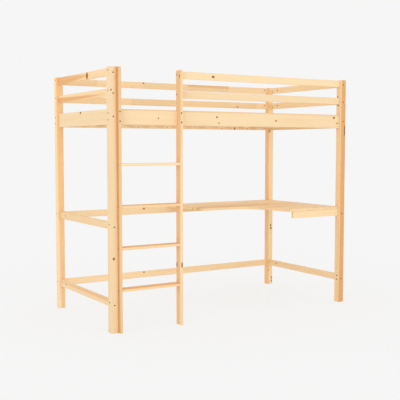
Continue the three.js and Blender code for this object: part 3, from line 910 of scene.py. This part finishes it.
# Logs as the photograph shows them: palette, pith in millimetres from the board's middle,
# heart radius, taper in millimetres for each metre along the board
LOGS = {
    "post_front_left": ("pale", (42, -30, 0), 20, -16),
    "post_front_right": ("mixed", (5, -50, 0), 36, 3),
    "post_back_left": ("pale", (8, -44, 0), 34, -12),
    "post_back_right": ("pale", (-46, 4, 0), 38, 4),
    "ladder_upright_left": ("deep", (-26, -16, 0), 22, 0),
    "ladder_upright_right": ("pale", (-40, 6, 0), 44, -10),
    "guard_rail_front_upper": ("pale", (0, 60, 50), 10, 0),
    "guard_rail_front_lower": ("pale", (0, 50, -60), 10, 0),
    "guard_rail_right_upper": ("pale", (60, 0, 30), 30, 0),
    "guard_rail_right_lower": ("pale", (60, 0, -40), 30, 0),
    "slat_ledge_front": ("pale", (0, 60, 40), 10, 0),
    "slat_ledge_back": ("pale", (0, 60, 50), 10, 0),
    # The treads' piths lie 200 mm above them with a heart of 198 mm, so only their top faces
    # take the darker heartwood: painted shade of the tops under the bed
    "ladder_tread_1": ("warm", (0, 0, 200), 198, 0),
    "ladder_tread_2": ("warm", (0, 10, 200), 198, 0),
    "ladder_tread_3": ("warm", (0, 0, 200), 198, 0),
    "guard_rail_back_upper": ("pale", (0, -40, 40), 20, 0),
    "guard_rail_back_lower": ("pale", (0, -30, -50), 25, 4),
    "guard_rail_left_upper": ("warm", (-24, 0, 0), 20, -50),
    "guard_rail_left_lower": ("mixed", (-13, 0, -8), 10, -14),
    "side_rail_front": ("pale", (0, -22, 72), 30, 0),
    "end_rail_left": ("pale", (0, 0, 90), 30, 0),
    "desk_support_rail": ("pale", (0, 60, 50), 10, 0),
    "middle_rail_back": ("pale", (0, 60, 40), 10, 0),
    "middle_rail_left": ("warm", (40, 0, 30), 20, 0),
    "low_rail_back": ("pale", (0, 60, 45), 10, 0),
    "low_rail_left": ("pale", (-20, 0, 16), 16, 6),
    "desk_top": ("warm", (0, 0, 6), 28, 0),
}

# The dark streak on the desk, in millimetres from CORNER: its ends and half its width
STREAKS = {"desk_top": ((1041, 572), (1953, 580), 20)}


# By chance: how far a pith lies from a board's middle, its heart radius and its taper, and
# the number and size of a slat's knots
PITH_REACH = 0.04
HEART_MOST = 0.035
TAPER_MOST = 0.006
KNOT_COUNT = (1, 4)
KNOT_SIZE = (3, 8)
KNOT_STRETCH = 1.3


def flat_place(node, direction, distance):
    """How far a distance in millimetres from CORNER lies from a board's middle."""
    sign = 1 if sum(direction) > 0 else -1
    return sign * distance * MM - (middle(node) - CORNER).dot(direction)


def knots_of(node, along, across):
    """A board's knots in metres from its middle: those of the photograph, or by chance."""
    found = []
    for at, side, half_length, half_width, *mark in KNOTS.get(node, []):
        direction = along.cross(across) if mark else across
        found.append((flat_place(node, along, at), flat_place(node, direction, side),
                      half_length * MM, half_width * MM, bool(mark)))
    if node.startswith("slat_"):
        chance = chance_for(f"knots of {node}")
        low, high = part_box(node)
        reach, width = abs((high - low).dot(along)) / 2, abs((high - low).dot(across)) / 2
        for index in range(int(chance.integers(*KNOT_COUNT))):
            size = float(chance.uniform(*KNOT_SIZE)) * MM
            found.append((float(chance.uniform(-0.9, 0.9)) * reach,
                          float(chance.uniform(-0.8, 0.8)) * width,
                          KNOT_STRETCH * size, size, False))
    return found


def log_of(node):
    """A board's log: as the photograph shows it, or by chance for the others."""
    if node in LOGS:
        tone, pith, heart, taper = LOGS[node]
        return tone, Vector(pith) * MM, heart * MM, taper * MM
    chance = chance_for(f"log of {node}")
    pith = Vector(float(value) for value in chance.uniform(-PITH_REACH, PITH_REACH, 3))
    heart = float(chance.uniform(0.0, HEART_MOST))
    return "pale", pith, heart, float(chance.uniform(-TAPER_MOST, TAPER_MOST))


def streak_of(node, along, across):
    """A board's dark streak in metres from its middle, if it has one."""
    if node not in STREAKS:
        return None
    start, end, half_width = STREAKS[node]
    ends = [Vector((flat_place(node, along, at), flat_place(node, across, side)))
            for at, side in (start, end)]
    return ends[0], ends[1], half_width * MM


def timber_of(node):
    """(grain axis, axis across it, slot, length between finger joints) of a board."""
    if node.startswith("post_"):
        return "z", X, "pine_warm", None
    if node.startswith("ladder_upright"):
        return "z", Y, "pine_deep", None
    if node.startswith("ladder_tread"):
        return "x", Y, "pine_warm", None
    if node.startswith("slat_ledge"):
        return "x", Y, "pine_warm", LEDGE_SEGMENT
    if node.startswith("slat_"):
        return "y", X, "pine_warm", None
    if node == "desk_top":
        return "x", Y, "pine_pale", DESK_SEGMENT
    if node.startswith(("guard_rail_back", "guard_rail_right")):
        return "y" if "right" in node else "x", Z, "pine_pale", GUARD_SEGMENT
    if node.endswith(("_left", "_right", "_left_upper", "_left_lower")):
        return "y", Z, "pine_pale", None
    return "x", Z, "pine_pale", None


def add_board(node):
    """One wooden piece, with its holes, its timber and its place in the bed."""
    grain, across, slot, segment = timber_of(node)
    along = GRAIN[grain][0]
    points, faces = desk_solid() if node == "desk_top" else board_solid(node, grain)
    item = make_object(f"{node}_pine", points, faces)
    stave = STAVE_WIDTH if node == "desk_top" else None
    material = pine(node, along, across, log_of(node), knots_of(node, along, across),
                    streak_of(node, along, across), stave, segment)
    item.data.materials.append(material)
    holes = cutters.get(node, [])
    notches = [notch_cutter(node)] if node.startswith("ladder_upright") else []
    if holes:
        # The holes' walls take the darker material that paints the shade inside them
        item.data.materials.append(DRILLED_AND_SHADED)
        bored(item, holes, notches)
    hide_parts(node)
    finish(item)


STEEL = zinc_plated_steel()
DRILLED_AND_SHADED = drilled_pine_with_painted_shade()
WOODEN = [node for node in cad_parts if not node.startswith("bed_bolt")]
for node in sorted(WOODEN):
    add_board(node)


# Fasteners

def socket_bolt(start, along, length):
    """A socket head bolt: hexagonal recess, eased head, shoulder, shank and pointed tip."""
    head, shank = BOLT_HEAD_RADIUS, BOLT_RADIUS
    profile = [(HEX_DEPTH, 0.02 * MM, 1), (HEX_DEPTH, HEX_HALF_WIDTH, 1),
               (0.25 * MM, HEX_HALF_WIDTH, 1), (0, HEX_HALF_WIDTH + 0.3 * MM, 1),
               (0, head - 0.5 * MM, 0), (0.15 * MM, head - 0.15 * MM, 0),
               (0.5 * MM, head, 0), (BOLT_HEAD_LENGTH, head, 0),
               (BOLT_HEAD_LENGTH, shank, 0), (length - 1 * MM, shank, 0),
               (length, shank - 0.8 * MM, 0)]
    return turned(profile, start + along * BOLT_SUNK, along, hexagon)


def cross_nut(mouth, outward, length):
    """A barrel across the rail, both its ends eased, with a slot in the end that shows."""
    profile = [(1.2 * MM, 0.3 * MM, 1), (0.1 * MM, 3.7 * MM, 1), (0, 3.9 * MM, 1),
               (0, NUT_RADIUS - 0.6 * MM, 0), (0.6 * MM, NUT_RADIUS, 0),
               (length - 0.6 * MM, NUT_RADIUS, 0), (length, NUT_RADIUS - 0.6 * MM, 0)]
    return turned(profile, mouth, outward, screw_slot)


def threaded_insert(start, along):
    """A sleeve with a coarse outer thread, drawn as rings of ridges."""
    distance = np.linspace(0, INSERT_LENGTH, THREAD_RINGS)
    ridge = INSERT_RADIUS - 0.5 * MM * (np.arange(THREAD_RINGS) % 2)
    profile = [(d, r, 0) for d, r in zip(distance, ridge)]
    return turned(profile, start, along)


def wood_screw(start, along, length):
    """A countersunk wood screw with a cross recess, its head just below the surface."""
    head, shank = SCREW_HEAD_RADIUS, SCREW_SHANK_RADIUS
    profile = [(1.5 * MM, 0.3 * MM, 1), (0.2 * MM, 2.2 * MM, 1), (0, 2.4 * MM, 1),
               (0, head - 0.2 * MM, 0), (SCREW_RIM, head, 0), (SCREW_HEAD_LENGTH, shank, 0),
               (length - 4 * MM, shank, 0), (length, 0.2 * MM, 0)]
    return turned(profile, start + along * SCREW_SUNK, along, cross)


def add_fasteners(name, parts, nodes=()):
    """One piece from fasteners of a kind, which may stand for CAD nodes."""
    item = make_object(name, *joined(parts))
    item.data.materials.append(STEEL)
    if nodes:
        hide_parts(*nodes)
    finish(item)


def is_bed_bolt(rail):
    """The bolts of the wide rails are the ones with CAD nodes."""
    return rail in ("side_rail_front", "side_rail_back", "end_rail_left", "end_rail_right")


def length_past(grip):
    """A rail bolt's length: through its board and into its cross nut."""
    return grip + NUT_REACH + TIP_PAST_MIDDLE - BOLT_SUNK


def nut_places():
    """(mouth of the nut's pocket, direction into the rail) for each rail bolt."""
    places = []
    for start, along, board, grip, rail, inward in RAIL_BOLTS:
        seat = start + along * (grip + NUT_REACH)
        places.append((seat + inward * (RAIL_THICKNESS / 2 - NUT_INSET), -inward))
    return places


bed_bolt_nodes = sorted(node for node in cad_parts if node.startswith("bed_bolt"))
add_fasteners("bed_bolts", [
    socket_bolt(start, along, length_past(grip))
    for start, along, board, grip, rail, inward in RAIL_BOLTS if is_bed_bolt(rail)
], bed_bolt_nodes)
add_fasteners("rail_bolts", [
    socket_bolt(start, along, length_past(grip))
    for start, along, board, grip, rail, inward in RAIL_BOLTS if not is_bed_bolt(rail)
])
add_fasteners("ladder_bolts", [
    socket_bolt(start, along, grip - BOLT_SUNK)
    for start, along, board, grip, receiver in INSERT_BOLTS
])
add_fasteners("cross_nuts", [cross_nut(mouth, way, NUT_LENGTH) for mouth, way in nut_places()])
add_fasteners("threaded_inserts", [
    threaded_insert(start + along * grip, along)
    for start, along, board, grip, receiver in INSERT_BOLTS
])


for name, screws in SCREWS.items():
    add_fasteners(name, [wood_screw(start, along, length)
                         for start, along, length, boards in screws])


# Stage: a pale floor and a backdrop of the same colour, which keep a faint shadow
BACKDROP = 0xF6F6F6
FLOOR_HALF = 30.0
FADE_START, FADE_END = 1.2, 4.5
SKY_LIGHT = 0.95
LAMP_SIZE = 6.0
LAMP_TARGET = Vector((0, 0, 0.9))
SOFTBOXES = {"key softbox": ((-9.0, -6.0, 3.9), 155), "front softbox": ((3.0, -12.0, 2.7), 105)}


def pale_floor():
    """Painted studio floor: the camera sees mostly the backdrop's colour, with the shadow.

    The share of the backdrop's colour grows to 1 with the distance from the bed, so the floor
    runs into the backdrop without an edge.
    """
    material, tree = new_material("pale studio floor")
    paint = add_node(tree, "BsdfDiffuse", None, {0: linear(BACKDROP)})
    glow = add_node(tree, "Emission", None, {0: linear(BACKDROP), 1: 1.0})
    place = add_node(tree, "TexCoord").outputs["Object"]
    away = add_node(tree, "VectorMath", {"operation": "LENGTH"}, {
        0: place}).outputs["Value"]
    pure = add_node(tree, "MapRange", SMOOTH, {
        0: away, 1: FADE_START, 2: FADE_END, 3: 0.8, 4: 1.0}).outputs[0]
    path = add_node(tree, "LightPath")
    share = add_node(tree, "Math", MULTIPLY, {
        0: path.outputs["Is Camera Ray"], 1: pure}).outputs[0]
    both = add_node(tree, "MixShader", None, {
        0: share, 1: paint.outputs[0], 2: glow.outputs[0]})
    add_node(tree, "OutputMaterial", None, {0: both.outputs[0]})
    return material


def studio_world():
    """Even white light from all round; the camera and reflections see the backdrop colour."""
    world = bpy.data.worlds.new("studio")
    world.use_nodes = True
    tree = world.node_tree
    tree.nodes.clear()
    light = add_node(tree, "Background", None, {0: (1, 1, 1, 1), 1: SKY_LIGHT})
    seen = add_node(tree, "Background", None, {0: linear(BACKDROP), 1: 1.0})
    path = add_node(tree, "LightPath")
    direct = add_node(tree, "Math", {"operation": "MAXIMUM"}, {
        0: path.outputs["Is Camera Ray"], 1: path.outputs["Is Glossy Ray"]}).outputs[0]
    both = add_node(tree, "MixShader", None, {
        0: direct, 1: light.outputs[0], 2: seen.outputs[0]})
    add_node(tree, "OutputWorld", None, {0: both.outputs[0]})
    bpy.context.scene.world = world


def add_softbox(name, place, power):
    """A square white area lamp that looks at the middle of the bed."""
    lamp = bpy.data.lights.new(name, "AREA")
    lamp.shape = "SQUARE"
    lamp.size = LAMP_SIZE
    lamp.energy = power
    item = bpy.data.objects.new(name, lamp)
    item.location = place
    item.rotation_euler = (LAMP_TARGET - Vector(place)).to_track_quat("-Z", "Y").to_euler()
    bpy.context.scene.collection.objects.link(item)


floor = make_object("studio_floor", [
    (-FLOOR_HALF, -FLOOR_HALF, 0), (FLOOR_HALF, -FLOOR_HALF, 0),
    (FLOOR_HALF, FLOOR_HALF, 0), (-FLOOR_HALF, FLOOR_HALF, 0)], [[0, 1, 2, 3]])
floor.data.materials.append(pale_floor())

studio_world()
for name, (place, power) in SOFTBOXES.items():
    add_softbox(name, place, power)

# Camera at the photograph's place, fitted to its edges
CAMERA_PLACE = (-3.211, -5.158, 1.271)
CAMERA_PITCH = 4.029
CAMERA_HEADING = 31.639
CAMERA_LENS = 68.74
camera_data = bpy.data.cameras.new("camera")
camera_data.lens = CAMERA_LENS
camera_data.sensor_width = 36
camera = bpy.data.objects.new("camera", camera_data)
camera.location = CAMERA_PLACE
camera.rotation_euler = Euler((math.radians(90 - CAMERA_PITCH), 0,
                               -math.radians(CAMERA_HEADING)))
bpy.context.scene.collection.objects.link(camera)
bpy.context.scene.camera = camera
bpy.context.scene.view_settings.view_transform = "Standard"
